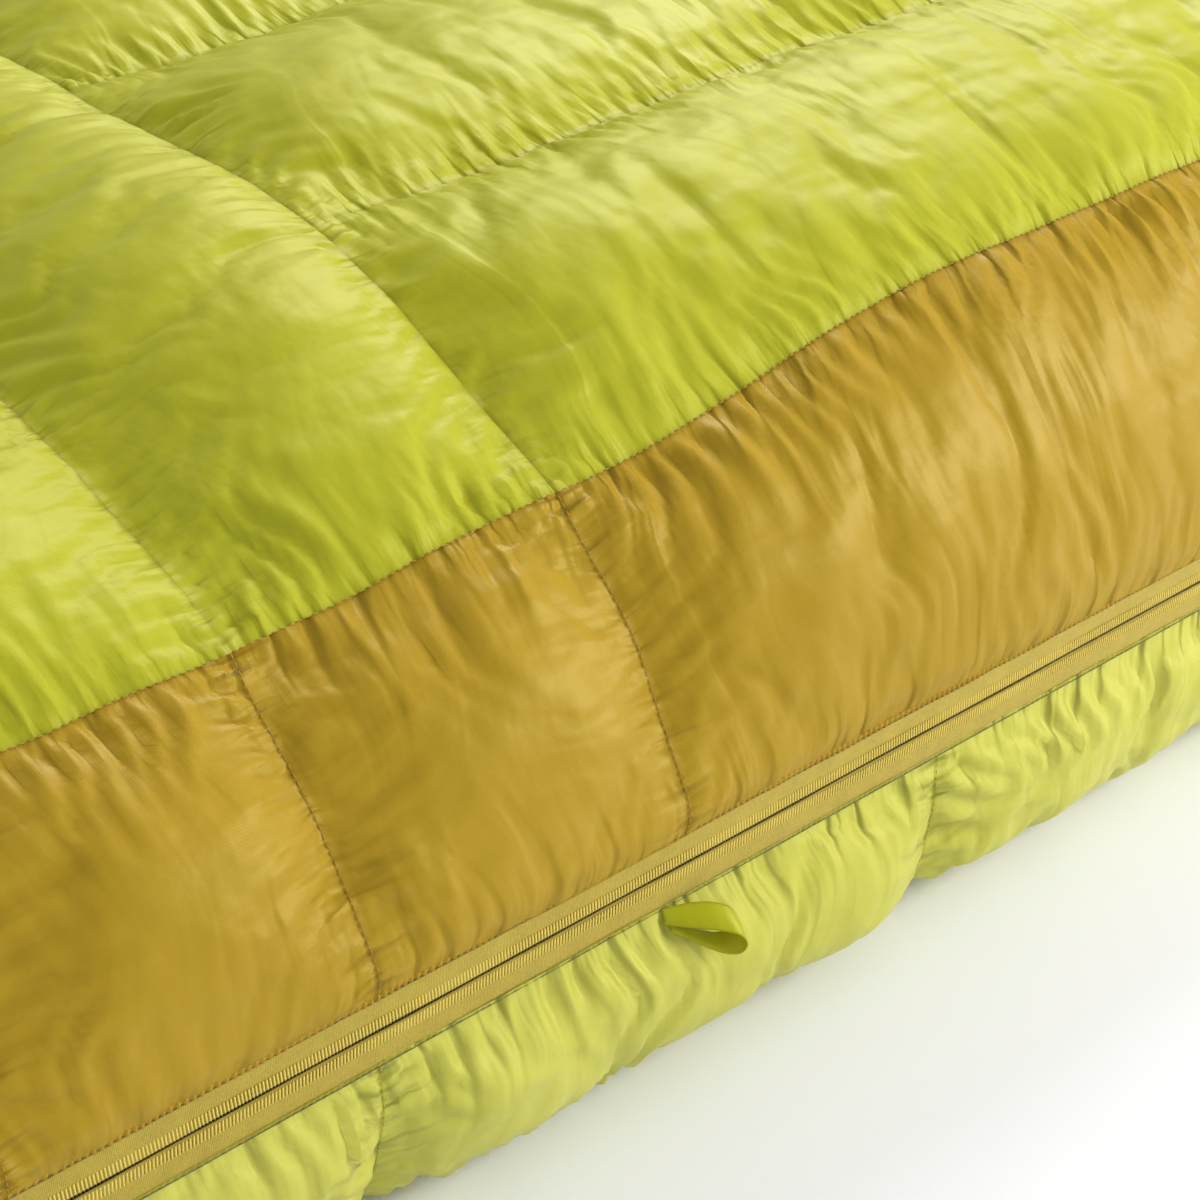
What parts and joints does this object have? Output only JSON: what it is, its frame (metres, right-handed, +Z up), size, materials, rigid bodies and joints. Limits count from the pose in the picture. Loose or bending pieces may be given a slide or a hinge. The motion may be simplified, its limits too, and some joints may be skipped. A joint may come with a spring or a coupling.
{
  "type": "camp quilt",
  "caption": "Zipped down camp quilt with a lofty sewn-through top layer folded over a thinner base layer, mustard side band and ribbon pad loops.",
  "frame": {"origin": "on the ground under the middle of the quilt's plan", "axes": "+Z up, +Y towards the head end along the length, +X towards the zip side"},
  "size_m": [0.772, 1.992, 0.285],
  "materials": {
    "lime_nylon": "satin",
    "ochre_nylon": "satin",
    "liner_nylon": "matte",
    "down_fill": "matte",
    "baffle_mesh": "matte",
    "zip_tape": "matte",
    "zip_coil": "satin",
    "slider_metal": "satin",
    "pull_metal": "satin",
    "ribbon": "satin"
  },
  "bodies": {
    "base_layer": {"base_shell": "lime_nylon", "base_side": "lime_nylon", "base_liner": "liner_nylon", "base_head_hem": "lime_nylon", "base_fill_1": "down_fill", "base_fill_2": "down_fill", "base_fill_3": "down_fill", "base_fill_4": "down_fill", "base_fill_5": "down_fill", "base_fill_6": "down_fill", "base_fill_7": "down_fill", "base_baffle_1": "baffle_mesh", "base_baffle_2": "baffle_mesh", "base_baffle_3": "baffle_mesh", "base_baffle_4": "baffle_mesh", "base_baffle_5": "baffle_mesh", "base_baffle_6": "baffle_mesh", "fold_gusset": "ochre_nylon", "lower_tape": "zip_tape", "lower_coil": "zip_coil", "lower_stop": "slider_metal", "pad_loop_zip": "ribbon", "pad_loop_fold": "ribbon"},
    "top_layer": {"top_shell_legs": "lime_nylon", "top_shell_chest": "lime_nylon", "side_band": "ochre_nylon", "top_liner": "liner_nylon", "top_head_hem": "lime_nylon", "leg_fill_1": "down_fill", "leg_fill_2": "down_fill", "leg_fill_3": "down_fill", "leg_fill_4": "down_fill", "leg_fill_5": "down_fill", "leg_fill_6": "down_fill", "foot_fill": "down_fill", "leg_baffle_1": "baffle_mesh", "leg_baffle_2": "baffle_mesh", "leg_baffle_3": "baffle_mesh", "leg_baffle_4": "baffle_mesh", "leg_baffle_5": "baffle_mesh", "leg_baffle_6": "baffle_mesh", "zone_baffle": "baffle_mesh", "chest_side_fill_zip": "down_fill", "chest_fill_1": "down_fill", "chest_fill_2": "down_fill", "chest_fill_3": "down_fill", "chest_fill_4": "down_fill", "chest_side_fill_fold": "down_fill", "chest_baffle_1": "baffle_mesh", "chest_baffle_2": "baffle_mesh", "chest_baffle_3": "baffle_mesh", "chest_baffle_4": "baffle_mesh", "chest_baffle_5": "baffle_mesh", "upper_tape": "zip_tape", "upper_coil": "zip_coil", "upper_stop": "slider_metal", "draft_tube": "liner_nylon"},
    "slider": {"slider_body": "slider_metal"},
    "outer_pull": {"outer_pull": "pull_metal"},
    "inner_pull": {"inner_pull": "pull_metal"}
  },
  "joints": [
    {"name": "top_fold", "type": "hinge", "parent": "base_layer", "child": "top_layer", "pos_m": [-0.366, 0, 0.096], "axis": [0, -1, 0], "range_deg": [0, 120]},
    {"name": "slider_travel", "type": "slide", "parent": "base_layer", "child": "slider", "axis": [0, -1, 0], "range_m": [0, 1.7]},
    {"name": "outer_pull_swing", "type": "hinge", "parent": "slider", "child": "outer_pull", "pos_m": [0.3695, 0.934, 0.096], "axis": [0, 0, 1], "range_deg": [0, 170]},
    {"name": "inner_pull_swing", "type": "hinge", "parent": "slider", "child": "inner_pull", "pos_m": [0.3595, 0.934, 0.096], "axis": [0, 0, -1], "range_deg": [0, 170]}
  ]
}
